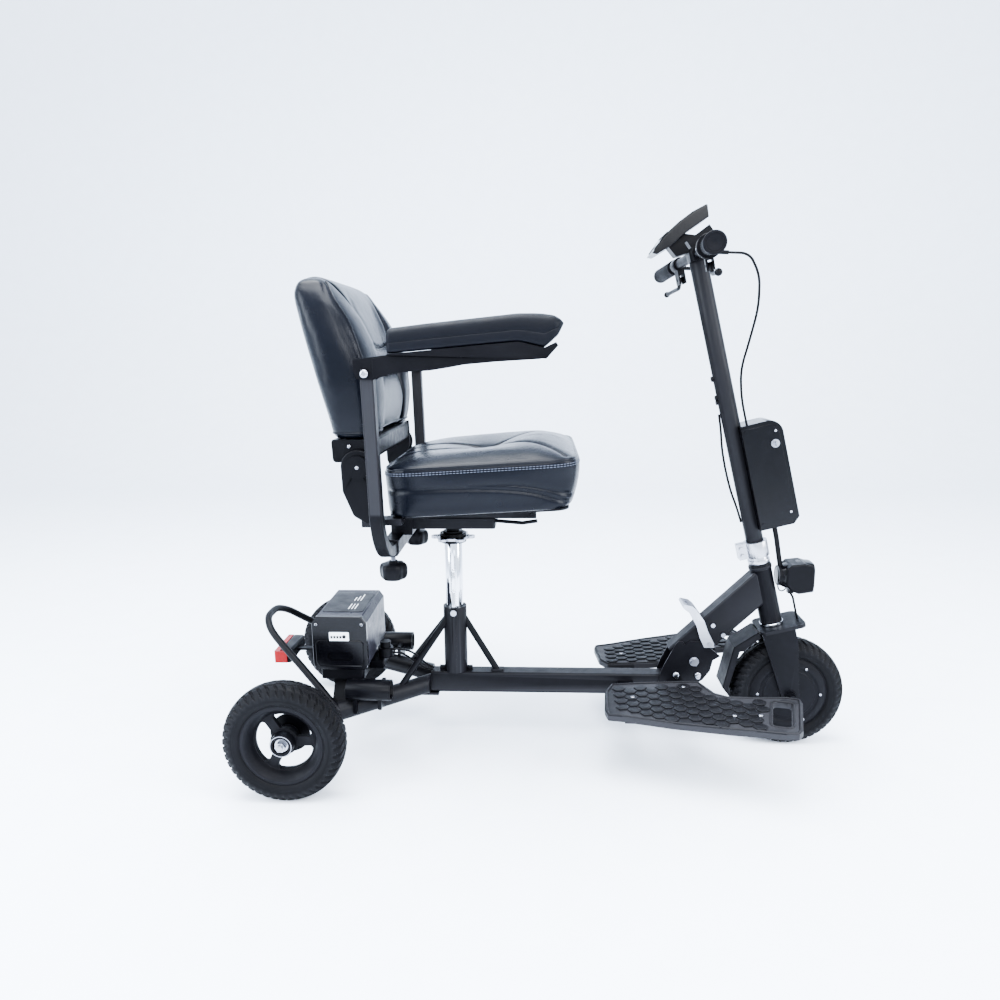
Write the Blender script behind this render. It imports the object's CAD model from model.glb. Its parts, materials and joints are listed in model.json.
"""Looks of the three-wheeled mobility scooter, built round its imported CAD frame.

Sizes are in millimetres in the row frame (+X forward, +Y to the rider's left, +Z up) and become
metres when a mesh is made.
"""

import json
from math import cos, pi, radians, sin

import bmesh
import bpy
import numpy as np
from mathutils import Matrix, Vector


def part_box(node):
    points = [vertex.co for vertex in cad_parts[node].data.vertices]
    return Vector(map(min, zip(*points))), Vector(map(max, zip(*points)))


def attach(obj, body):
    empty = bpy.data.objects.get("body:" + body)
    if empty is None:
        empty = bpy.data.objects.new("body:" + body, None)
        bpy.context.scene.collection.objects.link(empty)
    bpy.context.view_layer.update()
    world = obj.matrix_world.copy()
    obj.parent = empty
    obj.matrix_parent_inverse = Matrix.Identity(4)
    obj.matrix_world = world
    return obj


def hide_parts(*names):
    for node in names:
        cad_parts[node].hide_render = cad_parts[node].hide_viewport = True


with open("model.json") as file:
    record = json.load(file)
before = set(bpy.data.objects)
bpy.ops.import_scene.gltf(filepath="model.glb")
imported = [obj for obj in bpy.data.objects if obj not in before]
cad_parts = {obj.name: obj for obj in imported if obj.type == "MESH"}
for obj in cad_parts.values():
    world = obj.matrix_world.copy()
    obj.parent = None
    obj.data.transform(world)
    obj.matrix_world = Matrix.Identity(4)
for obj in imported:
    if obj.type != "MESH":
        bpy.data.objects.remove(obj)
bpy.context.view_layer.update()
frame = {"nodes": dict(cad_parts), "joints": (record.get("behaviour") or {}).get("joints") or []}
JOINTS = {joint["name"]: joint for joint in frame["joints"]}
MM = 0.001


def joint_point(name):
    """Where a hinge stands, in millimetres."""
    return Vector(JOINTS[name]["pos_m"]) / MM


def low(node):
    """The lowest corner of a CAD node, in millimetres."""
    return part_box(node)[0] / MM


def high(node):
    """The highest corner of a CAD node, in millimetres."""
    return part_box(node)[1] / MM


def upright(x, y, z):
    """The matrix that moves local millimetres to a point, unturned."""
    return Matrix.Translation(Vector((x, y, z)) * MM)


def placed(origin, x_axis, z_axis):
    """The matrix that puts local millimetres at origin, with local x and z along two directions."""
    z = Vector(z_axis).normalized()
    x = Vector(x_axis)
    x = (x - z * x.dot(z)).normalized()
    turn = Matrix((x, z.cross(x), z)).transposed().to_4x4()
    return Matrix.Translation(Vector(origin) * MM) @ turn


def around(count):
    """Angles that share out a full turn."""
    return [2 * pi * step / count for step in range(count)]


def squared(value, power):
    """A cosine or sine pushed outwards, so that a round outline becomes squarer."""
    return (1 if value > 0 else -1) * abs(value) ** (2 / power)


# ---- materials


def fill_in(node, links, values):
    """Sets a shader node's inputs by name or number: an output is linked and anything else is its value."""
    for key, value in values.items():
        if isinstance(value, bpy.types.NodeSocket):
            links.new(value, node.inputs[key])
        else:
            node.inputs[key].default_value = value


def add_node(tree, kind, values, **settings):
    """A new shader node with its inputs and settings."""
    node = tree.nodes.new(f"ShaderNode{kind}")
    for key, value in settings.items():
        setattr(node, key, value)
    fill_in(node, tree.links, values)
    return node


def add_noise(tree, where, scale, detail):
    """A noise texture in object space."""
    return add_node(tree, "TexNoise", {"Scale": scale, "Detail": detail, "Vector": where}).outputs["Fac"]


def add_range(tree, source, start, end):
    """Noise, spread over start to end."""
    values = {"From Min": 0.3, "From Max": 0.7, "To Min": start, "To Max": end, "Value": source}
    return add_node(tree, "MapRange", values).outputs[0]


def material(name, colour, roughness, bump, metallic=0, mottle=0.2, spread=0.07, grain=900, coat=0, cells=0,
             edge=0, shine=0.1, **extra):
    """A surface with clouded colour, uneven roughness, a fine grain and, if asked, leather and worn edges.

    extra holds more inputs of its shader.
    """
    made = bpy.data.materials.new(name)
    made.use_nodes = True
    tree = made.node_tree
    where = add_node(tree, "TexCoord", {}).outputs["Object"]
    dark, light = ([min(1, c * (1 + change)) for c in colour] + [1] for change in (-mottle, mottle))
    cloud = add_range(tree, add_noise(tree, where, 11, 5), 0, 1)
    base = add_node(tree, "Mix", {6: dark, 7: light, 0: cloud}, data_type="RGBA").outputs[2]
    if edge:
        corners = add_node(tree, "NewGeometry", {}).outputs["Pointiness"]
        values = {"From Min": 0.515, "From Max": 0.6, "To Max": edge, "Value": corners}
        worn = add_node(tree, "MapRange", values).outputs[0]
        values = {7: (0.09, 0.09, 0.1, 1), 0: worn, 6: base}
        base = add_node(tree, "Mix", values, data_type="RGBA").outputs[2]
    smear = add_noise(tree, where, 45, 4)
    height = add_noise(tree, where, grain, 2)
    if cells:
        leather = add_node(tree, "TexVoronoi", {"Scale": cells, "Vector": where}, feature="DISTANCE_TO_EDGE")
        crease = add_node(tree, "MapRange", {"From Max": 0.25, "Value": leather.outputs["Distance"]})
        values = {1: 0.8, 0: crease.outputs[0], 2: height}
        height = add_node(tree, "Math", values, operation="MULTIPLY_ADD").outputs[0]
    relief = add_node(tree, "Bump", {"Strength": bump, "Distance": 0.0006, "Height": height})
    fill_in(tree.nodes["Principled BSDF"], tree.links, {
        "Metallic": metallic, "Specular IOR Level": shine, "Coat Weight": coat, "Coat Roughness": 0.18,
        "Base Color": base, "Normal": relief.outputs["Normal"],
        "Roughness": add_range(tree, smear, max(0.02, roughness - spread), roughness + spread), **extra})
    return made


PAINT = material("powder_coat", (0.0025, 0.0025, 0.0038), 0.4, grain=1500, bump=0.12, edge=0.2)
PAINT_DULL = material("dull_paint", (0.0035, 0.0035, 0.005), 0.5, grain=1300, bump=0.15, edge=0.12)
PLASTIC = material("moulded_plastic", (0.0028, 0.0028, 0.004), 0.36, grain=1100, bump=0.12)
PLASTIC_FINE = material("smooth_plastic", (0.002, 0.002, 0.003), 0.2, spread=0.04, grain=700, bump=0.03,
                        shine=0.2)
TREAD = material("tread_plastic", (0.003, 0.003, 0.0042), 0.48, bump=0.35, edge=0.25, shine=0.12)
RUBBER = material("tyre_rubber", (0.003, 0.003, 0.004), 0.55, mottle=0.3, grain=700, bump=0.3, edge=0.2)
GRIP = material("grip_rubber", (0.0035, 0.0035, 0.005), 0.6, grain=1200, bump=0.3)
CABLE = material("cable_jacket", (0.004, 0.004, 0.005), 0.35, grain=1500, bump=0.1)
LEATHER = material("seat_leather", (0.0022, 0.003, 0.006), 0.25, mottle=0.12, spread=0.025, grain=420,
                   bump=0.16, cells=620, shine=0.15)
ARM_SKIN = material("armrest_skin", (0.003, 0.0036, 0.006), 0.42, mottle=0.12, grain=800, bump=0.25,
                    cells=900)
THREAD = material("stitch_thread", (0.09, 0.1, 0.13), 0.6, grain=3000, bump=0.4)
CHROME = material("chrome", (0.66, 0.69, 0.75), 0.07, metallic=1, mottle=0.03, spread=0.03, grain=200,
                  bump=0.01)
ZINC = material("zinc", (0.34, 0.35, 0.39), 0.3, metallic=1, mottle=0.12, grain=800, bump=0.08)
SILVER = material("cast_silver", (0.4, 0.41, 0.45), 0.3, metallic=0.95, mottle=0.06, bump=0.12)
BATTERY_GREY = material("battery_shell", (0.018, 0.018, 0.024), 0.34, grain=1200, bump=0.2)
LABEL = material("label_white", (0.78, 0.8, 0.84), 0.45, mottle=0.03, bump=0.03)
RED = material("red_lens", (0.24, 0.0012, 0.002), 0.14, mottle=0.1, grain=300, bump=0.08, coat=0.25,
               **{"Emission Color": (0.5, 0, 0, 1), "Emission Strength": 0.03})
CLEAR = material("clear_lens", (0.95, 0.97, 1.0), 0.05, mottle=0.01, spread=0.02, grain=120, bump=0.05,
                 shine=0.5, **{"Transmission Weight": 0.9, "IOR": 1.45})
SCREEN = material("display_screen", (0.006, 0.007, 0.012), 0.08, spread=0.03, grain=200, bump=0.01, coat=0.6)

# ---- mesh helpers


def linked(name, data):
    """A new object in the scene."""
    obj = bpy.data.objects.new(name, data)
    bpy.context.scene.collection.objects.link(obj)
    return obj


def clean_mesh(name, shape, merge):
    """A mesh in metres from a shape, with points closer than merge made one and faces turned outwards."""
    verts, faces = shape
    mesh = bpy.data.meshes.new(name)
    mesh.from_pydata([Vector(v) * MM for v in verts], [], faces)
    work = bmesh.new()
    work.from_mesh(mesh)
    bmesh.ops.remove_doubles(work, verts=work.verts, dist=merge)
    bmesh.ops.recalc_face_normals(work, faces=work.faces)
    work.to_mesh(mesh)
    work.free()
    return mesh


def turned(profile, sides=72):
    """A body turned about local z from (radius, height) points."""
    count = len(profile)
    verts = [(r * cos(angle), r * sin(angle), h) for angle in around(sides) for r, h in profile]
    faces = []
    for step in range(sides):
        here, there = step * count, (step + 1) % sides * count
        faces += [(here + i, there + i, there + i + 1, here + i + 1) for i in range(count - 1)]
    return verts, faces


def prism(outline, bottom, top):
    """A flat outline made solid between two heights."""
    count = len(outline)
    verts = [(x, y, bottom) for x, y in outline] + [(x, y, top) for x, y in outline]
    faces = [tuple(range(count))[::-1], tuple(range(count, 2 * count))]
    faces += [(i, (i + 1) % count, count + (i + 1) % count, count + i) for i in range(count)]
    return verts, faces


def loft(rings, closed=True):
    """Rings with the same number of points joined one after another, with flat ends."""
    count = len(rings[0])
    verts = [point for ring in rings for point in ring]
    faces = []
    for row in range(len(rings) - 1):
        base = row * count
        faces += [(base + i, base + (i + 1) % count, base + count + (i + 1) % count, base + count + i)
                  for i in range(count)]
    if closed:
        faces.append(tuple(range(count))[::-1])
        faces.append(tuple(range(len(verts) - count, len(verts))))
    return verts, faces


def tube(path, radius, sides, ends=True):
    """A round tube along points."""
    points = [Vector(p) for p in path]
    rings = []
    normal = None
    for index, here in enumerate(points):
        ahead = points[min(index + 1, len(points) - 1)] - points[max(index - 1, 0)]
        ahead.normalize()
        if normal is None:
            normal = ahead.orthogonal().normalized()
        normal = (normal - ahead * normal.dot(ahead)).normalized()
        other = ahead.cross(normal)
        rings.append([here + (normal * cos(a) + other * sin(a)) * radius for a in around(sides)])
    return loft(rings, ends)


def joined(shapes):
    """Several shapes as one."""
    verts, faces = [], []
    for points, polygons in shapes:
        shift = len(verts)
        verts += list(points)
        faces += [tuple(i + shift for i in polygon) for polygon in polygons]
    return verts, faces


def moved(shape, matrix):
    """A shape in local millimetres taken through a placement matrix, still in millimetres."""
    verts, faces = shape
    return [matrix @ (Vector(v) * MM) / MM for v in verts], faces


def rounded(width, depth, radius, steps=6):
    """The outline of a rectangle with round corners."""
    points = []
    for cx, cy, start in ((1, 1, 0), (-1, 1, 90), (-1, -1, 180), (1, -1, 270)):
        for step in range(steps + 1):
            angle = radians(start + 90 * step / steps)
            points.append((cx * (width / 2 - radius) + radius * cos(angle),
                           cy * (depth / 2 - radius) + radius * sin(angle)))
    return points


def soften(obj, width, segments=3, angle=32):
    """Rounds an object's hard edges and smooths its shading."""
    weld = obj.modifiers.new("weld", "WELD")
    weld.merge_threshold = 0.00002
    round_off = obj.modifiers.new("edges", "BEVEL")
    round_off.width = width * MM
    round_off.segments = segments
    round_off.limit_method = "ANGLE"
    round_off.angle_limit = radians(angle)
    round_off.use_clamp_overlap = True
    round_off.harden_normals = True


def piece(name, shape, body, look, place=None, stands_for=(), edge=0.0, smooth=0):
    """A finished part of the object: makes its mesh, gives it a material and puts it on its body."""
    mesh = clean_mesh(name, shape, 0.000005)
    if place:
        mesh.transform(place)
    mesh.materials.append(look)
    mesh.shade_smooth()
    obj = linked(name, mesh)
    if smooth:
        modifier = obj.modifiers.new("smooth", "SUBSURF")
        modifier.levels = smooth
        modifier.render_levels = smooth
    if edge:
        soften(obj, edge)
    elif not smooth:
        mesh.set_sharp_from_angle(angle=radians(40))
    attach(obj, body)
    if stands_for:
        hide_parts(*stands_for)


def finish_node(node, look, edge):
    """Gives a CAD node its material and soft edges."""
    obj = frame["nodes"][node]
    obj.data.materials.clear()
    obj.data.materials.append(look)
    for polygon in obj.data.polygons:
        polygon.material_index = 0
    if edge:
        soften(obj, edge, 2)


# ---- CAD nodes that keep their shape

# Look, width of the rounded edges in millimetres, nodes.
CAD_LOOKS = (
    (PAINT, 0, "handlebar arm_post_right arm_post_left"),
    (PAINT, 0.8, "fold_brackets neck_tube head_tube stem swivel_plate seat_base"),
    (PAINT, 1.0, "seat_column rear_arms seat_pan"),
    (PAINT, 1.2, "fork"),
    (PAINT, 1.5, "main_beam"),
    (PAINT_DULL, 0.6, "mudguard"),
    (PAINT_DULL, 1.5, "rear_rim_right rear_rim_left"),
    (PLASTIC, 0.8, "socket_tubes brake_lever_right brake_lever_left"),
    (PLASTIC, 1.0, "bar_fittings"),
    (PLASTIC, 1.5, "battery_tray tail_light_housing front_axle bar_clamp"),
    (PLASTIC, 2.0, "backrest_cover arm_bracket_right arm_bracket_left"),
    (PLASTIC, 2.5, "hinge_covers"),
    (PLASTIC_FINE, 1.0, "battery_cap"),
    (PLASTIC_FINE, 1.5, "display_case"),
    (PLASTIC_FINE, 3.0, "controller_box"),
    (CABLE, 0, "battery_leads harness brake_cable"),
    (BATTERY_GREY, 2.0, "battery_case"),
    (RED, 1.5, "tail_light_lens"),
    (ZINC, 0.5, "key_switch"),
    (ZINC, 0.8, "frame_fasteners neck_fasteners"),
    (SILVER, 0.8, "fold_lever"),
    (SILVER, 1.2, "stem_clamp"),
    (CHROME, 0.5, "seat_post"),
)

for look, edge, names in CAD_LOOKS:
    for name in names.split():
        finish_node(name, look, edge)

# ---- wheels

TREAD_PITCHES = 44
# Only what is further out than this is cut.
TREAD_FROM = 107


def groove_depth(angle, side):
    """How deep the tread is cut at a place round and across the tyre."""
    turn = angle * TREAD_PITCHES / (2 * pi)
    wave = abs((turn * 0.5) % 1 - 0.5) * 4 - 1
    depth = 0.0
    if abs(abs(side) - 7 - 2.5 * wave) < 1.5:
        depth = 2.2
    if abs(side) > 9:
        sweep = turn + 0.9 * (abs(side) - 8) / 22 + (0.5 if side > 0 else 0)
        if sweep % 1 < 0.36 and abs(side) < 30.5:
            depth = 3.4
    return depth


# Radius and place across the tyre.
CROWN = [(120 + 7.5 * cos(radians(a)), 24 * sin(radians(a)) / sin(radians(84))) for a in range(-84, 85, 4)]
WALL = [(117, 27), (113, 29.6), (108, 30.8), (103, 30.9), (101.5, 30.2), (100, 30.6), (96, 29.8), (92, 28.4),
        (89.5, 26.8), (88.6, 25.6), (87.2, 25.4), (87.1, 22), (84.3, 22)]
TYRE_SECTION = CROWN + WALL + [(radius, -side) for radius, side in reversed(WALL)]


def tyre_shape(steps=704):
    """The tyre about local z: a round crown with cut tread, a bead and stepped walls."""
    rings = []
    for angle in around(steps):
        cuts = [(radius - (groove_depth(angle, side) if radius > TREAD_FROM else 0), side)
                for radius, side in TYRE_SECTION]
        rings.append([(radius * cos(angle), radius * sin(angle), side) for radius, side in cuts])
    return loft(rings + [rings[0]], closed=False)


TYRE = tyre_shape()


def wheel_place(joint):
    """The placement of a wheel: local z along its axle, towards the rider's right."""
    return placed(joint_point(joint), (1, 0, 0), (0, -1, 0))


# Radius and height above the wheel's middle.
HUB_RING = [(21.4, 26.6), (21.4, 28), (22.6, 28), (22.6, 26.6), (21.4, 26.6)]
BEARING = [(7, 19.8), (7, 21), (11, 21.3), (11, 20.4), (13.5, 20.4), (13.5, 21.3), (16.8, 21), (16.8, 19.8),
           (7, 19.8)]
AXLE_END = [(6.4, 32), (6.4, 36.6), (5.4, 37.4), (0, 37.5)]
for side, out in (("right", 1), ("left", -1)):
    body = f"rear_wheel_{side}"
    place = wheel_place(f"{body}_spin")
    ring, bearing, axle_end = ([(r, out * h) for r, h in profile]
                               for profile in (HUB_RING, BEARING, AXLE_END))
    piece(f"rear_tread_{side}", TYRE, body, RUBBER, place, stands_for=[f"rear_tyre_{side}"])
    piece(f"hub_ring_{side}", turned(ring), body, ZINC, place)
    piece(f"bearing_face_{side}", turned(bearing), body, PLASTIC_FINE, place)
    piece(f"axle_end_{side}", turned(axle_end, 36), "frame", ZINC, place)

front = wheel_place("front_wheel_spin")
piece("front_tread", TYRE, "front_wheel", RUBBER, front, stands_for=["front_tyre"])

MOTOR_SIDE = [
    (6.2, 33.5), (22, 33.5), (24.5, 31.5), (26, 30.2), (56, 30.2), (58, 30.2), (59.5, 28.6), (66, 28.4),
    (68, 29.8), (70, 30.4), (76, 30), (80, 28.6), (84, 26.5), (86.8, 25.2), (86.8, 22.2), (84.2, 22.2),
]
SCREW_CIRCLE = 71
MOTOR = turned(MOTOR_SIDE + [(r, -h) for r, h in reversed(MOTOR_SIDE)] + MOTOR_SIDE[:1], 96)
piece("motor_shell", MOTOR, "front_wheel", PAINT_DULL, front, stands_for=["hub_motor"], edge=0.6)


def screw(radius, height, socket=True):
    """A domed screw head on local z = 0, with a socket in it."""
    profile = [(radius, -0.6), (radius, height * 0.45), (radius * 0.82, height * 0.85),
               (radius * 0.55, height)]
    profile += [(radius * 0.5, height * 0.35), (0, height * 0.3)] if socket else [(0, height * 1.05)]
    return turned(profile, 24)


def screws_at(name, body, spots, radius=3.2, height=1.8):
    """A set of equal screws; spots are pairs of a point and the direction that the head faces."""
    shapes = [moved(screw(radius, height), placed(point, (0.3, 0.2, 1), facing)) for point, facing in spots]
    piece(name, joined(shapes), body, ZINC)


motor_screws = []
for side in (1, -1):
    for index in range(6):
        out = Vector((cos(radians(60 * index)), 0, sin(radians(60 * index))))
        spot = joint_point("front_wheel_spin") + out * SCREW_CIRCLE + Vector((0, -side * 30.2, 0))
        motor_screws.append((spot, (0, -side, 0)))
screws_at("motor_screws", "front_wheel", motor_screws)

# ---- footplates

LEFT = Matrix.Scale(-1, 4, (0, 1, 0))
PLATE_PLACE = placed((132.5, -120, 156), (cos(radians(2.9)), 0, sin(radians(2.9))),
                     (-sin(radians(2.9)), -sin(radians(2.6)), 1))
PLATE_OUTLINE = [
    (-17, -50), (-12, -74), (20, -82), (116, -116), (226, -146), (272, -156), (328, -170), (352, -171),
    (364, -157), (398, -50), (398, -32), (374, -21), (309, -18), (251, -9), (227, 8), (212, 43),
    (202, 66), (72, 69), (8, 66), (-10, 32),
]
GRAB_CENTRE = Vector((343, -92))
GRAB_TURN = radians(-17)
SCALE_R = 15.2
SCALE_GAP = 27.6


def inside(point, outline, margin):
    """Whether a point is in an outline and at least margin from its sides."""
    x, y = point
    within = False
    for (x1, y1), (x2, y2) in zip(outline, outline[1:] + outline[:1]):
        if (y1 > y) != (y2 > y) and x < x1 + (y - y1) / (y2 - y1) * (x2 - x1):
            within = not within
        along = Vector((x2 - x1, y2 - y1))
        share = max(0, min(1, Vector((x - x1, y - y1)).dot(along) / along.length_squared))
        if (Vector((x1, y1)) + along * share - Vector(point)).length < margin:
            return False
    return within


def in_grab(point, margin):
    """Whether a point is within margin of the grab opening."""
    local = Matrix.Rotation(-GRAB_TURN, 2) @ (Vector(point) - GRAB_CENTRE)
    return abs(local.x) < 18 + margin and abs(local.y) < 48 + margin


def scale(cx, cy, near):
    """One six-sided scale of the tread; near, 1 or -1, is the side along y where it stands higher."""
    rim = [(SCALE_R * cos(a), SCALE_R * sin(a)) for a in around(6)]
    base = [(cx + x, cy + y, -0.6) for x, y in rim]
    shoulder = [(cx + x, cy + y, 1.7 + near * y * 0.09) for x, y in rim]
    top = [(cx + x * 0.86, cy + y * 0.86, 2.2 + near * y * 0.09) for x, y in rim]
    return loft([base, shoulder, top])


def footplate(side):
    """A footplate: a moulded plate with a raised rim, scaled tread and a grab opening."""
    place = PLATE_PLACE if side == "right" else LEFT @ PLATE_PLACE
    near = -1 if side == "right" else 1
    rows = []
    for column in range(-1, 18):
        for row in range(-7, 4):
            cx = column * 24 - 2
            cy = (row + column % 2 / 2) * SCALE_GAP
            if inside((cx, cy), PLATE_OUTLINE, 15.5) and not in_grab((cx, cy), 16):
                rows.append(scale(cx, cy, near))
    finish_node(f"footplate_{side}", TREAD, 2.5)
    piece(f"tread_scales_{side}", joined(rows), "frame", TREAD, place, edge=0.6)
    inset = []
    for (xa, ya), (x, y), (xb, yb) in zip(PLATE_OUTLINE[-1:] + PLATE_OUTLINE, PLATE_OUTLINE,
                                          PLATE_OUTLINE[1:] + PLATE_OUTLINE[:1]):
        inset.append(Vector((x, y, -0.2)) + Vector((ya - yb, xb - xa, 0)).normalized() * 5.5)
    piece(f"plate_rim_{side}", tube(inset + inset[:1], 2.6, 8, ends=False), "frame", TREAD, place)
    edge = [Matrix.Rotation(GRAB_TURN, 2) @ Vector(p) + GRAB_CENTRE for p in rounded(45, 105, 12)]
    grab = tube([(x, y, -0.2) for x, y in edge + edge[:1]], 2.4, 8, ends=False)
    piece(f"grab_rim_{side}", grab, "frame", TREAD, place)
    spots = [(48, -2), (165, 35), (246, -94), (298, -97)]
    heads = [moved(screw(4.6, 2.6), place @ upright(x, y, 1.4)) for x, y in spots]
    piece(f"plate_screws_{side}", joined(heads), "frame", ZINC)


footplate("right")
footplate("left")

# ---- steering head

AXLE = joint_point("steer")
STEER = Vector(JOINTS["steer"]["axis"]).normalized()
FORWARD = Vector((STEER.z, 0, -STEER.x))
HEAD = placed(AXLE, FORWARD, STEER)


def head_point(forward, left, up):
    """A point given from the front axle, along the tilted steering axis."""
    return AXLE + FORWARD * forward + Vector((0, left, 0)) + STEER * up


BAR_BEND = head_point(0, -58, 1006.6)
BAR_END = Vector((279.5, -306, 1088))
BAR_DIR = (BAR_END - BAR_BEND).normalized()
BAR_LENGTH = (BAR_END - BAR_BEND).length
BAR_PLACE = placed(BAR_BEND, (0, 0, 1), BAR_DIR)


def ribbed(start, stop, radius, ribs=26, deep=1.1, core=11.1):
    """A grip about local z: long ribs with round ends between two plain collars."""
    rings = []
    for height, size in ((start, core), (start, radius), (start + 5, radius), (start + 6, radius - deep),
                         (start + 8, None), (stop - 10, None), (stop - 8, radius - deep), (stop - 7, radius),
                         (stop, radius), (stop, core)):
        ring = []
        for angle in around(ribs * 6):
            reach = size or radius - 0.4 - deep * (0.5 - 0.5 * cos(ribs * angle)) ** 2
            ring.append((reach * cos(angle), reach * sin(angle), height))
        rings.append(ring)
    return loft(rings, closed=False)


# Radius and distance back from the bar's end.
END_DISC = [(11.1, 9), (20, 9), (20.5, 8.2), (20.5, 1.4), (19.4, 0), (16.5, 0), (15.6, 1.4), (6, 1.8),
            (4, 3.2), (0, 3.2)]
END_CAP = [(17, 6), (17, 1.5), (15.5, 0), (5, 0), (4, 1), (0, 1)]
disc, cap = (turned([(r, BAR_LENGTH - back) for r, back in profile]) for profile in (END_DISC, END_CAP))
piece("throttle_sleeve", joined([ribbed(146.4, BAR_LENGTH - 9, 17.5), disc]), "throttle", GRIP, BAR_PLACE,
      stands_for=["throttle_grip"])
piece("left_sleeve", joined([ribbed(128, BAR_LENGTH - 6, 17), cap]), "steering", GRIP, LEFT @ BAR_PLACE,
      stands_for=["left_grip"])

bands = [turned([(22, start), (23.3, start + 0.8), (23.3, start + 2.2), (22, start + 3)])
         for start in (119.5, 125, 130.5, 136, 141.5)]
piece("throttle_bands", joined(bands), "steering", PLASTIC_FINE, BAR_PLACE)
THROTTLE_BACK = BAR_BEND + BAR_DIR * 132
screws_at("throttle_screws", "steering", [(THROTTLE_BACK + Vector((-22.4, 4, -4)), (-1, 0, 0)),
                                          (THROTTLE_BACK + Vector((-21.8, -6, 6)), (-1, 0, 0.2))], 1.9, 1.0)

# The display: a rim round a dark glass face with keys and a gauge.
SCREEN_ARC = [Vector((x, 0, z)) for x, z in ((209.5, 1103), (232.6, 1135), (262, 1161.5), (289, 1181),
                                             (318.5, 1196))]


def arc_point(share, side, lift):
    """A point over the display's curved top."""
    place = share * (len(SCREEN_ARC) - 1)
    index = min(int(place), len(SCREEN_ARC) - 2)
    start, end = SCREEN_ARC[index:index + 2]
    normal = Vector((start.z - end.z, 0, end.x - start.x)).normalized()
    return start.lerp(end, place - index) + Vector((0, side, 0)) + normal * lift


def on_display(u0, u1, half, lift, thick, steps=16):
    """A thin panel that follows the display's top."""
    rings = []
    for step in range(steps + 1):
        share = u0 + (u1 - u0) * step / steps
        rings.append([arc_point(share, -half, lift), arc_point(share, half, lift),
                      arc_point(share, half, lift - thick), arc_point(share, -half, lift - thick)])
    return loft(rings)


piece("display_glass", on_display(0.14, 0.93, 36, 1.2, 2.4), "steering", SCREEN, edge=0.6)
rim_line = [arc_point(0.05 + 0.93 * k / 20, 40, 0.3) for k in range(21)]
rim_line += [arc_point(0.98, 40 - 80 * k / 8, 0.3) for k in range(1, 8)]
rim_line += [arc_point(0.98 - 0.93 * k / 20, -40, 0.3) for k in range(21)]
piece("display_rim", tube(rim_line, 1.5, 8), "steering", PLASTIC)


def on_face(outline, height, share, sides):
    """Raised shapes on the display's face, one at each side offset."""
    shapes = []
    for y in sides:
        spot = arc_point(share, y, 1)
        place = placed(spot, arc_point(share + 0.05, y, 1) - spot, arc_point(share, y, 2) - spot)
        shapes.append(moved(prism(outline, 0, height), place))
    return joined(shapes)


gauge = on_face(rounded(6, 9, 1.2), 1.9, 0.72, (-22, -11, 0, 11, 22))
piece("display_keys", on_face(rounded(13, 17, 3), 2.2, 0.3, (-23, 0, 23)), "steering", PLASTIC, edge=0.7)
piece("display_gauge", gauge, "steering", LABEL, edge=0.4)

# The headlight: a round-cornered shell with a deep reflector behind clear plastic.


def shell_ring(x, half_y, low_z, high_z, power=4.5):
    """A rounded ring across the headlight at x."""
    middle, half_z = (high_z + low_z) / 2, (high_z - low_z) / 2
    return [(x, half_y * squared(cos(angle), power), middle + half_z * squared(sin(angle), power))
            for angle in around(64)]


# Place along X, half width, lowest and highest Z.
SHELL = [(513.5, 8, 394, 412), (514, 17, 385, 421), (516, 20, 382, 424), (522, 22, 379, 426.5),
         (530, 24.4, 376, 429.5), (539, 26.6, 372.5, 432.5), (549, 28.4, 369.5, 435),
         (560, 29.6, 367.6, 436.6), (572, 30, 367, 437), (584, 30, 367.5, 436.5), (588, 29.5, 368.5, 435.5),
         (588, 26, 373, 431), (583, 25, 375, 429), (566, 15, 385, 418), (560, 7, 394, 409)]
shell_rings = [shell_ring(*row, power=min(4, 2.2 + max(0, row[0] - 518) / 20)) for row in SHELL]
piece("headlight_shell", loft(shell_rings), "steering", PLASTIC_FINE)
finish_node("headlight_housing", PLASTIC, 0)
REFLECTOR = [(586.5, 25.8, 373.4, 430.6), (578, 22, 378, 426), (568, 15, 386, 417), (562, 7, 395, 408)]
piece("headlight_reflector", loft([shell_ring(*row) for row in REFLECTOR], closed=False), "steering", CHROME)
piece("headlight_lamp", turned([(5, 0), (5, 6), (3.6, 9), (0, 10)], 32), "steering", LABEL,
      placed((563, 0, 401.5), (0, 0, 1), (1, 0, 0)))
LENS = [(586, 25.2, 374, 430), (589, 25.2, 374, 430), (590.4, 22, 378, 426), (590.6, 12, 390, 414),
        (590.7, 3, 399, 404)]
piece("headlight_cover", loft([shell_ring(*row) for row in LENS]), "steering", CLEAR,
      stands_for=["headlight_lens"])

# Controller box: side panels and screws; PANEL is measured forward of and up the steering axis.
PANEL = [(24, 404), (24, 623), (70, 623), (84, 615), (88, 600), (88, 416), (79, 404)]
for side in (-1, 1):
    panel = loft([[head_point(x, side * y, up) for x, up in PANEL] for y in (36.6, 38.3)])
    piece(f"controller_panel_{'right' if side < 0 else 'left'}", panel, "steering", PLASTIC_FINE, edge=0.8)
box_screws = [(head_point(80, side * 38.2, up), (0, side, 0)) for side in (-1, 1) for up in (424, 606)]
screws_at("controller_screws", "steering", box_screws, 2.6, 1.2)
STEM_BUMPS = [moved(turned([(0, -2), (6, -2), (6, 3), (4.5, 4.6), (0, 5)], 28),
                    placed(head_point(-18.6, 0, up), STEER, -FORWARD)) for up in (700, 742)]
piece("stem_buttons", joined(STEM_BUMPS), "steering", PLASTIC)
KEY_FACE = head_point(74, -45.2, 580)
marks = [moved(prism(rounded(5, 2.2, 0.6), 0, 1.0), placed(KEY_FACE, (cos(a), 0, sin(a)), (0, -1, 0)))
         for a in (0.3, 1.35)]
piece("key_marks", joined(marks), "key", ZINC)

# ---- battery

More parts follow.
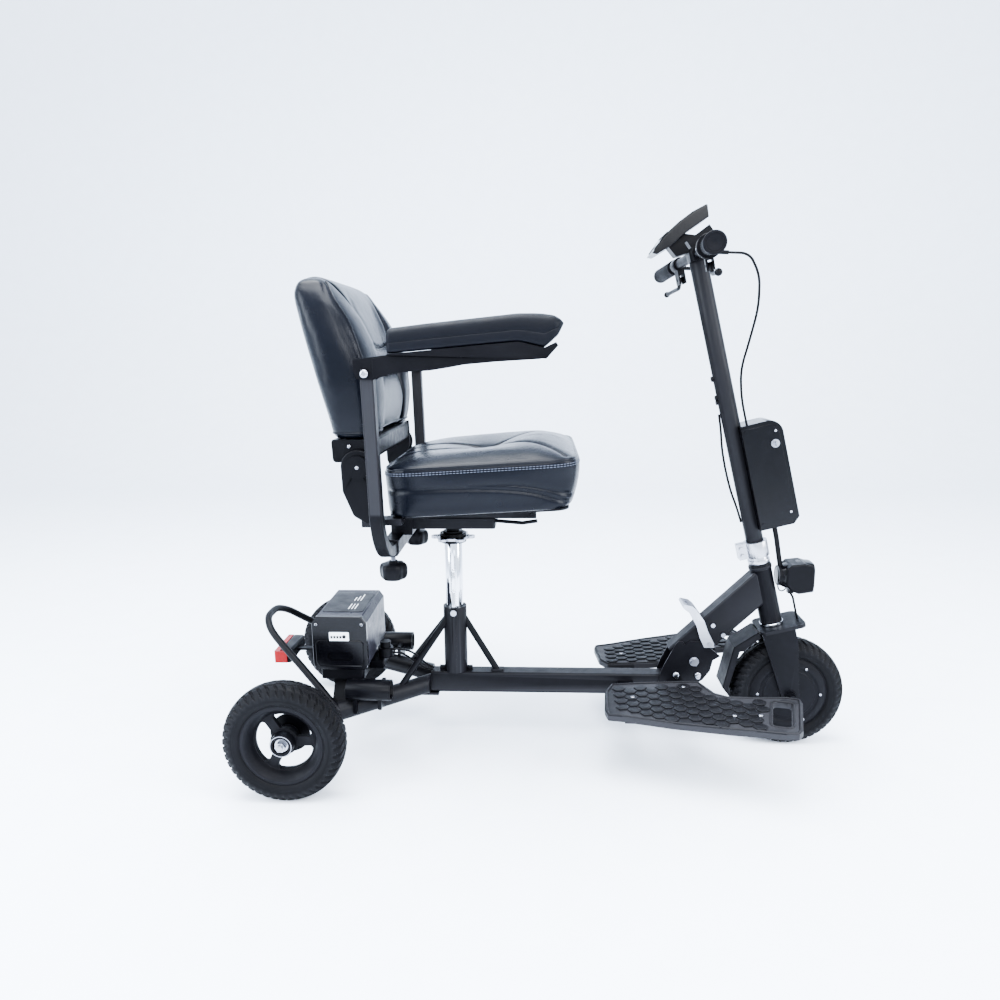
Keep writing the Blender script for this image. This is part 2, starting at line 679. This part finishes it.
LID = high("battery_case").z
CAP_Y = -150.2
battery_x = (low("battery_case").x + high("battery_case").x) / 2
piece("battery_lid", prism(rounded(92, 130, 8), 0, 1), "battery", PLASTIC, upright(battery_x, -52, LID),
      edge=0.6)
prints = [moved(prism(rounded(2, deep, 0.8), 0.8, 1.3), upright(battery_x + dx, y, LID))
          for dx, y, deep in ((24, -20, 44), (17, -26, 32), (10, -30, 24), (24, -82, 34), (17, -82, 34),
                              (10, -82, 34))]
piece("battery_print", joined(prints), "battery", LABEL)
plate = placed((battery_x, -150.8, 306), (1, 0, 0), (0, -1, 0))
piece("battery_label", prism(rounded(43.4, 20.4, 2), -0.6, 0.5), "battery", LABEL, plate, edge=0.2)
marks = [moved(prism(rounded(4.4, 5.6, 0.8), 0.4, 0.9), upright(x, -1, 0)) for x in (-16.5, -10, -3.5, 3)]
piece("battery_marks", joined(marks), "battery", PLASTIC, plate)
button = turned([(4, 0), (4, 1.5), (3.2, 2.1), (0, 2.2)], 28)
piece("battery_button", button, "battery", PLASTIC_FINE, plate @ upright(11, 0, 0))
screws_at("battery_screws", "battery", [((battery_x + dx, CAP_Y, 333), (0, -1, 0)) for dx in (-50, 50)], 3.4)
BEZEL = [(-46, 238), (46, 238), (52, 246), (52, 290), (46, 296), (-46, 296), (-52, 290), (-52, 246)]
bezel = tube([(battery_x + dx, CAP_Y, z) for dx, z in BEZEL + BEZEL[:1]], 1.3, 8, ends=False)
piece("battery_bezel", bezel, "battery", PLASTIC_FINE)

# ---- stuffed forms

PILLOW_STEPS = 20
VOXEL = 5.5
RELAX_ROUNDS = 12
CLOTH = {"quality": 5, "mass": 0.3, "tension_stiffness": 18, "compression_stiffness": 18,
         "shear_stiffness": 8, "bending_stiffness": 0.8, "use_pressure": True, "uniform_pressure_force": 4,
         "vertex_group_mass": "pins"}


def surface_copy(obj, name):
    """The shape an object has once its modifiers are worked out, as a new mesh."""
    bpy.context.view_layer.update()
    made = bpy.data.meshes.new_from_object(obj.evaluated_get(bpy.context.evaluated_depsgraph_get()))
    made.name = name
    return made


def stuff(name, shape, cap, held):
    """A padded form: a remeshed skin, blown out by cloth pressure by no more than cap millimetres.

    held takes an (n, 3) array of local millimetres and gives how far each point may move, 0 to 1.
    """
    obj = linked(name, clean_mesh(name, shape, 0.00001))
    remesh = obj.modifiers.new("remesh", "REMESH")
    remesh.mode = "VOXEL"
    remesh.voxel_size = VOXEL * MM
    obj.data = surface_copy(obj, name)
    obj.modifiers.clear()
    start = points_of(obj.data)
    free = held(start / MM)
    pins = obj.vertex_groups.new(name="pins")
    for index, value in enumerate(free):
        pins.add([index], float(1 - value), "REPLACE")
    cloth = obj.modifiers.new("cloth", "CLOTH").settings
    for key, value in CLOTH.items():
        setattr(cloth, key, value)
    cloth.effector_weights.gravity = 0
    for number in range(1, PILLOW_STEPS + 1):
        bpy.context.scene.frame_set(number)
    blown = points_of(surface_copy(obj, f"{name}_blown"))
    bpy.context.scene.frame_set(1)
    obj.modifiers.clear()
    obj.vertex_groups.clear()
    move = blown - start
    length = np.linalg.norm(move, axis=1)
    limit = cap * MM
    share = limit * np.tanh(length / limit) / np.maximum(length, 1e-9) * free
    put_points(obj.data, start + move * share[:, None])
    relax(obj.data)
    finer = obj.modifiers.new("finer", "SUBSURF")
    finer.levels = 1
    obj.data = surface_copy(obj, name)
    obj.modifiers.clear()
    return obj


def points_of(mesh):
    """A mesh's points as an array."""
    flat = np.zeros(len(mesh.vertices) * 3)
    mesh.vertices.foreach_get("co", flat)
    return flat.reshape(-1, 3)


def put_points(mesh, points):
    """Writes an array of points back into a mesh."""
    mesh.vertices.foreach_set("co", points.reshape(-1))
    mesh.update()


def relax(mesh):
    """Evens out the steps that remeshing leaves, without shrinking the form."""
    points = points_of(mesh)
    edges = np.array([e.vertices[:] for e in mesh.edges])
    count = np.bincount(edges.reshape(-1), minlength=len(points)).astype(float)
    for turn in range(2 * RELAX_ROUNDS):
        total = np.zeros_like(points)
        np.add.at(total, edges[:, 0], points[edges[:, 1]])
        np.add.at(total, edges[:, 1], points[edges[:, 0]])
        points = points + (total / count[:, None] - points) * (0.62 if turn % 2 == 0 else -0.6)
    put_points(mesh, points)


def line_distance(points, line):
    """How far each point is from a run of straight lines; both in millimetres."""
    best = np.full(len(points), 1e9)
    for a, b in zip(line, line[1:]):
        a, b = np.array(a, float), np.array(b, float)
        along = b - a
        share = np.clip((points - a) @ along / (along @ along), 0, 1)
        best = np.minimum(best, np.linalg.norm(points - a - share[:, None] * along, axis=1))
    return best


def smooth_line(points, steps=12):
    """A curve through points, as many short lines."""
    pts = [np.array(p, float) for p in points]
    pts = [2 * pts[0] - pts[1]] + pts + [2 * pts[-1] - pts[-2]]
    out = []
    for a, b, c, d in zip(pts, pts[1:], pts[2:], pts[3:]):
        for step in range(steps):
            t = step / steps
            bend = (2 * a - 5 * b + 4 * c - d) * t * t + (3 * b - a - 3 * c + d) * t ** 3
            out.append(0.5 * (2 * b + (c - a) * t + bend))
    return out + [pts[-2]]


def carve(mesh, lines, depth, width, axes):
    """Presses seams into a mesh: each line is measured on the local axes given, on the side that it faces."""
    points = points_of(mesh)
    normals = np.zeros(len(points) * 3)
    mesh.vertices.foreach_get("normal", normals)
    normals = normals.reshape(-1, 3)
    sink = np.zeros(len(points))
    for line, facing in lines:
        near = line_distance(points[:, axes] / MM, line)
        side = np.clip(normals @ np.array(facing, float) * 2.5 - 0.5, 0, 1)
        sink = np.maximum(sink, np.exp(-(near / width) ** 2) * side)
    put_points(mesh, points - normals * (sink * depth * MM)[:, None])


def touch(obj, start, towards):
    """Where a line from start first meets an object's skin, with the skin's normal; local millimetres."""
    found, spot, normal, _ = obj.ray_cast(Vector(start) * MM, Vector(towards).normalized())
    return (spot / MM, normal) if found else (None, None)


def piping(name, spots, radius, body, place, closed=True):
    """A welt that lies along spots on a stuffed form, sunk a tenth of its radius."""
    path = [spot - normal * radius * 0.1 for spot, normal in spots if spot]
    piece(name, tube(path + path[:2] if closed else path, radius, 8, ends=not closed), body, LEATHER, place)


def stitches(name, spots, length, gap, radius, body, place):
    """A row of stitches on a stuffed form, laid along spots."""
    run, shapes = 0.0, []
    spots = [(s, n) for s, n in spots if s]
    for (a, na), (b, nb) in zip(spots, spots[1:]):
        step = (b - a).length
        if step < 0.01 or step > 30:
            continue
        position = -run
        while position < step:
            if position >= 0:
                middle = a.lerp(b, position / step) + na * 0.3
                half = (b - a).normalized() * length / 2
                arch = [middle + half * share + na * lift
                        for share, lift in ((-1, 0), (-0.5, 0.35), (0.5, 0.35), (1, 0))]
                shapes.append(tube(arch, radius, 5))
            position += length + gap
        run = (length + gap) - (position - step)
    piece(name, joined(shapes), body, THREAD, place)


def finish_stuffed(obj, place, body, node):
    """Puts a stuffed form in place as the look of its CAD solid."""
    obj.data.transform(place)
    obj.data.materials.clear()
    obj.data.materials.append(LEATHER)
    obj.data.shade_smooth()
    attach(obj, body)
    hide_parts(node)


def smooth_step(value):
    """0 to 1 with soft ends."""
    value = np.clip(value, 0, 1)
    return value * value * (3 - 2 * value)


# ---- seat cushion

SEAT_TILT = radians(3.2)
SEAT_PLACE = placed((-137.5, 0, 590), (cos(SEAT_TILT), 0, sin(SEAT_TILT)),
                    (-sin(SEAT_TILT), 0, cos(SEAT_TILT)))
# Height of the welt above the cushion's base.
SEAT_EDGE = 99


def seat_outline(front, rear, half, count=144):
    """The plan of the cushion at one height."""
    return [((front if cos(angle) > 0 else rear) * squared(cos(angle), 8), half * squared(sin(angle), 8))
            for angle in around(count)]


def seat_top(x, y, share):
    """How high the top is at a place, where share is 1 at the welt and 0 in the middle."""
    middle = np.interp(x, [-190, -160, -100, -50, 4, 60, 110, 150, 180, 200],
                       [108, 116, 114, 110, 109, 120, 133, 132, 122, 108])
    bolster = np.interp(x, [-190, -180, -94, 14, 122, 180, 200], [106, 112, 120, 123, 124, 115, 104])
    height = middle + (bolster - middle) * smooth_step(abs(y) / 185)
    return SEAT_EDGE + (height - SEAT_EDGE) * (1 - share ** 9)


# Height, then how far the sides are to the front, to the rear and sideways.
SEAT_SIDES = [(0, 172, 190, 208), (2, 180, 195, 214), (8, 185, 197, 216), (25, 191, 198, 216),
              (45, 197, 198, 216), (65, 201, 198, 218), (82, 203, 198, 222), (92, 202, 197, 224),
              (SEAT_EDGE, 200, 196, 224)]
seat_rings = [[(x, y, h) for x, y in seat_outline(*reach)] for h, *reach in SEAT_SIDES]
welt_line = seat_rings[-1]
for share in (0.985, 0.965, 0.94, 0.9, 0.85, 0.78, 0.7, 0.6, 0.5, 0.4, 0.3, 0.2, 0.1, 0.03):
    level = [(x * share, y * share) for x, y, _ in welt_line]
    seat_rings.append([(x, y, seat_top(x, y, share)) for x, y in level])


def seat_held(points):
    """The base stays flat on the pan, the welt moves little and the centre pinch is sewn down."""
    free = smooth_step((points[:, 2] - 2) / 30)
    pinch = np.hypot(points[:, 0] - 4, points[:, 1])
    free *= 0.35 + 0.65 * smooth_step(pinch / 60)
    welt = np.abs(points[:, 2] - SEAT_EDGE) / 10
    rim = np.maximum(np.abs(points[:, 1]) - 205, np.abs(points[:, 0]) - 172) > 0
    free *= np.where(rim, 0.55 + 0.45 * smooth_step(welt), 1)
    free *= np.where(points[:, 0] < -175, 0.4, 1)
    return free


seat = stuff("seat_leather_form", loft(seat_rings), 9, seat_held)
UP = (0, 0, 1)
TOP_SEAMS = []
for side in (-1, 1):
    for seam in ([(4, 0), (36, 22), (68, 56), (112, 108), (150, 158), (172, 190)],
                 [(4, 0), (-30, 24), (-80, 46), (-140, 56), (-186, 58)]):
        TOP_SEAMS.append((smooth_line([(x, side * y) for x, y in seam]), UP))
carve(seat.data, [([(4, 0), (4.5, 0)], UP)], 7, 26, [0, 1])
carve(seat.data, TOP_SEAMS, 2.6, 9, [0, 1])
carve(seat.data, TOP_SEAMS, 3.0, 2.8, [0, 1])
SIDE_SEAMS = []
for side in (-1, 1):
    for seam in ([(-190, 54), (-100, 57), (-9, 54), (70, 46), (125, 33), (185, 8)],
                 [(-20, 60), (60, 58), (120, 47), (188, 26)]):
        SIDE_SEAMS.append((smooth_line(seam), (0, side, 0)))
carve(seat.data, SIDE_SEAMS, 2.6, 5.5, [0, 2])
carve(seat.data, SIDE_SEAMS, 1.6, 2.6, [0, 2])
bpy.context.view_layer.update()


def round_seat(height, count=300):
    """Spots on the cushion's skin all the way round, at one height."""
    spots = []
    ring = [Vector(p) for p in seat_outline(260, 260, 290, count=720)]
    ring.append(ring[0])
    run = [0.0]
    for a, b in zip(ring, ring[1:]):
        run.append(run[-1] + (b - a).length)
    for step in range(count):
        distance = run[-1] * step / count
        x, y = (np.interp(distance, run, [p[axis] for p in ring]) for axis in (0, 1))
        start = Vector((x, y, height))
        spots.append(touch(seat, start, Vector((x * 0.8, y * 0.86, height)) - start))
    return spots


welt_spots = round_seat(SEAT_EDGE + 1)
stitch_spots = [round_seat(SEAT_EDGE - 7), round_seat(SEAT_EDGE - 11)]
finish_stuffed(seat, SEAT_PLACE, "seat_carriage", "seat_cushion")
piping("seat_welt", welt_spots, 3.0, "seat_carriage", SEAT_PLACE)
for number, spots in enumerate(stitch_spots, 1):
    stitches(f"seat_stitches_{number}", spots, 4.2, 2.6, 0.8, "seat_carriage", SEAT_PLACE)

# ---- backrest

# Heights, then where the back, the front and the sides are at them.
BACK_REAR = ([741, 800, 880, 960, 1024, 1047, 1060], [-441, -454, -473, -493, -508, -500, -480])
BACK_FRONT = ([741, 770, 815, 880, 930, 975, 1020, 1046, 1060],
              [-348, -340, -335, -340, -356, -377, -409, -430, -450])
BACK_HALF = ([741, 780, 850, 900, 960, 1000, 1025, 1047, 1060], [208, 219, 229, 229, 225, 218, 208, 192, 162])


def back_ring(height, shrink):
    """A level section of the backrest, hollowed a little where the sitter leans."""
    rear = np.interp(height, *BACK_REAR) + shrink
    front = np.interp(height, *BACK_FRONT) - shrink
    half = np.interp(height, *BACK_HALF) - shrink
    middle, deep = (rear + front) / 2, (front - rear) / 2
    ring = []
    for angle in around(144):
        x, y = deep * squared(cos(angle), 4.5), half * squared(sin(angle), 4.5)
        hollow = 20 * (1 - smooth_step((abs(y) - 70) / 75)) * smooth_step((1040 - height) / 60)
        hollow *= 0.45 + 0.55 * smooth_step(abs(height - 800) / 80)
        ring.append((middle + x - hollow * min(1, max(0, cos(angle) * 3)), y, height))
    return ring


back_levels = [(742, 5), (744, 2), (750, 0)] + [(h, 0) for h in range(762, 1042, 12)]
back_levels += [(1047, 0), (1053, 2), (1057, 6), (1060, 12)]


def back_held(points):
    """The lower edge stays on its cover and the two upright seams are held; the rest may fill out."""
    seam = smooth_step(np.abs(np.abs(points[:, 1]) - 108) / 30)
    return smooth_step((points[:, 2] - 743) / 40) * (0.4 + 0.6 * seam)


back = stuff("back_leather_form", loft([back_ring(h, s) for h, s in back_levels]), 8, back_held)
SEAM = [(150, 1052), (132, 1012), (112, 950), (100, 880), (104, 800), (112, 742)]
EDGE_SEAM = [(178, 1054), (212, 1010), (223, 950), (226, 880), (222, 820), (206, 744)]
BOLSTER = [(172, 1046), (198, 1012), (208, 960), (214, 900), (213, 830), (204, 770), (200, 756)]
AHEAD = (1, 0, 0)


def back_line(points, side):
    """A curve on the backrest's front, on one side of its middle."""
    return smooth_line([(side * y, z) for y, z in points])


BACK_SEAMS = [(back_line(SEAM, side), AHEAD) for side in (-1, 1)]
BACK_SEAMS.append((smooth_line([(-104, 926), (0, 918), (104, 926)]), AHEAD))
carve(back.data, BACK_SEAMS, 3.5, 8, [1, 2])
carve(back.data, BACK_SEAMS, 3.0, 2.8, [1, 2])
carve(back.data, [(back_line(EDGE_SEAM, side), AHEAD) for side in (-1, 1)], 1.6, 3.0, [1, 2])
bpy.context.view_layer.update()
PLAIN = Matrix.Identity(4)


def round_back(height):
    """Spots on the backrest's skin all the way round, at one height."""
    spots = []
    for angle in around(180):
        start = Vector((-395 + 160 * cos(angle), 330 * sin(angle), height))
        aim = Vector((-395 + 20 * cos(angle), 190 * sin(angle), height))
        spots.append(touch(back, start, aim - start))
    return spots


lower_spots = round_back(753)
bolster_lines = [[touch(back, (-200, y, z), (-1, 0, 0)) for y, z in back_line(BOLSTER, side)]
                 for side in (-1, 1)]
finish_stuffed(back, PLAIN, "backrest", "backrest_cushion")
piping("back_lower_welt", lower_spots, 2.4, "backrest", PLAIN)
for side, spots in zip(("right", "left"), bolster_lines):
    piping(f"back_bolster_welt_{side}", spots, 2.2, "backrest", PLAIN, closed=False)

# ---- armrest pads

# How far the arms' middles are from the scooter's, and the faces of their pivot from there.
ARM_Y = 279.5
BOSS_Y = 20.2
# Places along X, then the heights there.
PAD_BOTTOM = ([-299, -59, -13, 12, 22], [907.3, 926.3, 915.5, 936, 956.5])
PAD_TOP = ([-299, -297, -293, -230, -60, -20, 5, 16, 22], [946, 950, 953, 960, 976, 975.5, 971.5, 965, 958])
# Half width and share of the height, from the bottom up one side.
PAD_SHAPE = [(0, 0), (18, 0), (25.5, 0.02), (28.2, 0.08), (29, 0.16), (29, 0.36), (28.6, 0.385),
             (27.4, 0.395), (27.4, 0.415), (28.5, 0.43), (28.8, 0.56), (28.2, 0.7), (26.2, 0.82),
             (22.5, 0.91), (16, 0.965), (8, 0.992), (0, 1)]
PAD_STEPS = [-299, -298, -296, -293, -288] + list(range(-280, -20, 10))
PAD_STEPS += [-16, -13, -9, -4, 0, 4, 8, 11, 14, 16.5, 18.5, 20, 21, 21.7]
pad_rings = []
for x in PAD_STEPS:
    end = min(1, (x + 299.8) / 7) if x < -250 else min(1, (22.4 - x) / 30)
    narrow = (1 - (1 - end) ** 2.6) ** 0.5
    base, crest = np.interp(x, *PAD_BOTTOM), np.interp(x, *PAD_TOP)
    section = [(y * narrow, base + (crest - base) * share) for y, share in PAD_SHAPE]
    pad_rings.append([(x, y, z) for y, z in section] + [(x, -y, z) for y, z in reversed(section[1:-1])])
PAD = loft(pad_rings)
THREAD_SIDE = [(4.6, -1)]
for turn in range(14):
    THREAD_SIDE += [(5.4, turn * 1.3), (4.7, turn * 1.3 + 0.65)]
for side, name in ((-1, "right"), (1, "left")):
    piece(f"arm_pad_skin_{name}", PAD, f"armrest_{name}", ARM_SKIN, upright(0, side * ARM_Y, 0),
          stands_for=[f"arm_pad_{name}"], smooth=1)
    pivot = joint_point(f"arm_flip_{name}")
    bolts = [((pivot.x, side * ARM_Y + face * BOSS_Y, pivot.z), (0, face, 0)) for face in (side, -side)]
    screws_at(f"arm_bolts_{name}", f"armrest_{name}", bolts, 7.4, 3.6)
    knob = joint_point(f"knob_{name}_turn")
    piece(f"knob_stud_{name}", turned(THREAD_SIDE), f"knob_{name}", ZINC, upright(knob.x, knob.y, 478))
    recliner = [((-398, side * 214, 728), (0, side, 0)), ((-380, side * 233, 688), (0, side, 0))]
    screws_at(f"recliner_bolts_{name}", "backrest", recliner, 3.4, 1.6)

# ---- front guard and headset

# Place along X and Z, and how far the flange reaches in towards the axle.
GUARD = [(471.5, 278, 16), (418, 241, 18), (396, 143, 14), (413, 121, 3)]
outer = [Vector((x, 0, z)) for x, z, _ in GUARD]
inner = [p + (AXLE - p).normalized() * depth for p, (_, _, depth) in zip(outer, GUARD)]
flanges = [loft([[p + Vector((0, side * wide, 0)) for p in outer + inner[::-1]] for wide in (30.4, 32)])
           for side in (-1, 1)]
piece("guard_flanges", joined(flanges), "steering", PAINT_DULL, edge=0.4)
HEADSET = [(20, 166.8), (25.2, 166.8), (26, 167.6), (26, 172), (25.2, 172.8), (20, 172.8)]
piece("headset_ring", turned(HEADSET), "front_frame", CHROME, HEAD)

# ---- smaller fittings of the frame and the seat

bolts = [moved(screw(7.5, 4.8, socket=False), placed((x, side * 24.6, 170), AHEAD, (0, side, 0)))
         for side in (-1, 1) for x in (291, 340.5)]
piece("bracket_bolts", joined(bolts), "frame", ZINC)
POST_X = -221.5
button = turned([(4.4, -4), (4.4, -0.8), (3.6, -0.2), (0, -0.1)], 28)
buttons = [moved(button, placed((POST_X, -20, z), AHEAD, (0, -1, 0))) for z in (415.5, 366)]
piece("post_buttons", joined(buttons), "seat_height_post", CHROME)


def washer(inner_radius, outer_radius, sides):
    """A ring of the turntable's lock, about local z."""
    return turned([(inner_radius, 7.7), (outer_radius, 7.7), (outer_radius, 13.3), (inner_radius, 13.3),
                   (inner_radius, 7.7)], sides)


tabs = [moved(washer(5.2, 10.2, 32), upright(40 * cos(angle), 40 * sin(angle), 0)) for angle in around(6)]
piece("lock_tabs", joined([washer(30.2, 37.2, 72)] + tabs), "seat_height_post", ZINC,
      upright(POST_X, 0, high("seat_post").z))

FAIRING = [(-326, 865), (-318, 864), (-289, 871.5), (-257, 874.5), (-221, 876), (-190, 880.5), (-158, 886),
           (-100, 890.5), (-19, 894.5), (-22, 900), (-165, 899), (-297, 903), (-326, 899)]
for side, name in ((-1, "right"), (1, "left")):
    plates = [loft([[(x, side * ARM_Y + wide, z) for x, z in FAIRING] for wide in pair])
              for pair in ((-18, -15.8), (15.8, 18))]
    piece(f"arm_fairing_{name}", joined(plates), f"armrest_{name}", PLASTIC, edge=0.6)

# ---- carrying loop and knobs

loop = [(-462, 166, 140), (-500, 145, 172), (-560, 113, 223), (-613, 84, 266), (-640, 64, 290),
        (-655, 34, 305), (-658, 0, 308)]
loop += [(x, -y, z) for x, y, z in reversed(loop[:-1])]
piece("carrying_loop", tube(smooth_line(loop, 8), 8, 20), "frame", PAINT, stands_for=["handle_loop"])

KNOB_SIDE = [(4, 0), (20, 0.2), (25, 2), (28.4, 7), (29.8, 14), (30, 24), (29, 30), (26, 34), (16, 36),
             (9.5, 36.4), (9, 40.8), (5, 41)]
knob_rings = []
for radius, height in KNOB_SIDE:
    dip = 0.055 * min(1, max(0, (radius - 12) / 14))
    reach = [(radius * (1 - dip * (1 - cos(6 * a))), a) for a in around(120)]
    knob_rings.append([(r * cos(a), r * sin(a), height) for r, a in reach])
KNOB = loft(knob_rings)
for name in ("right", "left"):
    knob = joint_point(f"knob_{name}_turn")
    piece(f"knob_grip_{name}", KNOB, f"knob_{name}", PLASTIC, upright(knob.x, knob.y, 437),
          stands_for=[f"clamp_knob_{name}"])

# ---- stage, lights and camera

floor = bpy.data.meshes.new("studio_floor")
bend = [(3.2 + 1.6 * sin(radians(a)), 1.6 - 1.6 * cos(radians(a))) for a in range(8, 91, 8)]
sweep = [(-9, 0), (3.2, 0)] + bend + [(4.8, 7)]
floor_verts = [(x, y, z) for y, z in sweep for x in (-10, 10)]
floor.from_pydata(floor_verts, [], [(2 * i, 2 * i + 1, 2 * i + 3, 2 * i + 2) for i in range(len(sweep) - 1)])
floor.shade_smooth()
PALE = material("studio_paper", (0.86, 0.9, 0.97), 0.6, mottle=0.012, grain=60, bump=0.02)
floor.materials.append(PALE)
linked("studio_floor", floor)

world = bpy.data.worlds.new("studio_world")
world.use_nodes = True
sky = world.node_tree.nodes["Background"]
sky.inputs["Color"].default_value = (0.82, 0.9, 1.0, 1)
sky.inputs["Strength"].default_value = 1.7
bpy.context.scene.world = world


def softbox(name, spot, aim, width, height, power, colour):
    """An area light that faces a point."""
    data = bpy.data.lights.new(name, "AREA")
    data.shape = "RECTANGLE"
    data.size = width
    data.size_y = height
    data.energy = power
    data.color = colour
    lamp = linked(name, data)
    lamp.location = spot
    lamp.rotation_euler = (Vector(aim) - Vector(spot)).to_track_quat("-Z", "Y").to_euler()


softbox("box_over", (-0.4, -0.3, 3.2), (0, 0, 0.5), 3.2, 2.2, 230, (0.93, 0.96, 1.0))
softbox("box_left", (-3.0, -1.6, 1.7), (-0.2, 0, 0.6), 1.6, 2.4, 130, (0.85, 0.92, 1.0))
softbox("box_right", (3.0, -1.2, 1.9), (0.2, 0, 0.5), 1.4, 2.4, 110, (0.95, 0.97, 1.0))
softbox("box_front", (0.6, -3.4, 2.4), (0, 0, 0.5), 2.4, 1.4, 80, (1.0, 1.0, 1.0))

YAW, PITCH, ROLL = radians(-3.24), radians(11.16), radians(-0.72)
ahead = Vector((sin(YAW) * cos(PITCH), cos(YAW) * cos(PITCH), -sin(PITCH)))
right = Vector((cos(YAW), -sin(YAW), 0))
upward = right.cross(ahead)
right_rolled = right * cos(ROLL) + upward * sin(ROLL)
up_rolled = upward * cos(ROLL) - right * sin(ROLL)
lens = bpy.data.cameras.new("photo_camera")
lens.lens = 27.25
lens.sensor_width = 36
camera = linked("photo_camera", lens)
camera.matrix_world = Matrix.Translation((-0.0175, -1.682, 0.910)) @ Matrix(
    (right_rolled, up_rolled, -ahead)).transposed().to_4x4()
bpy.context.scene.camera = camera
bpy.context.scene.view_settings.view_transform = "AgX"
bpy.context.scene.view_settings.look = "AgX - Medium High Contrast"
bpy.context.scene.view_settings.exposure = 0.45
